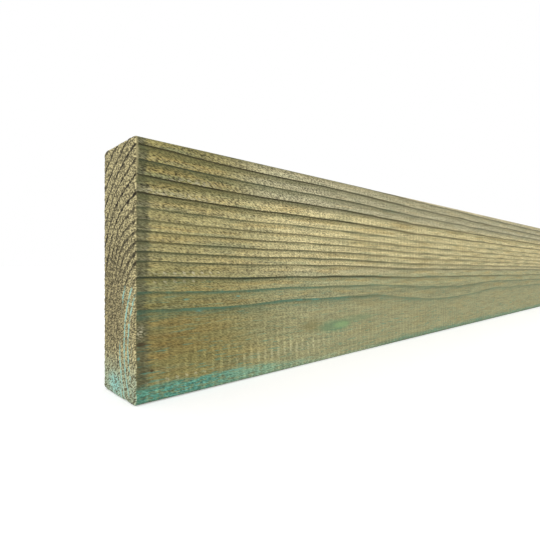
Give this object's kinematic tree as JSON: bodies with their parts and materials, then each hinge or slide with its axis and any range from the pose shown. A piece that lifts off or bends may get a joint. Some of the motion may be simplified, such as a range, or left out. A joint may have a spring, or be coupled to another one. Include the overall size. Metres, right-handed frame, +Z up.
{
  "type": "timber stud",
  "caption": "Straight softwood stud of rectangular section, green pressure-treated, with eased long edges and square-sawn ends, for wall and floor framing.",
  "frame": {"origin": "centre of the underside, which is the narrow edge that the stud rests on, midway along its length", "axes": "+X along the length and the grain, +Y through the thickness from the wide face that lies nearer the tree's heart, +Z up through the depth"},
  "size_m": [2.4, 0.047, 0.15],
  "materials": {
    "treated_softwood": "planed softwood with a green copper-based preservative, dry and matt"
  },
  "bodies": {
    "root": {"stud": "treated_softwood"}
  },
  "joints": []
}
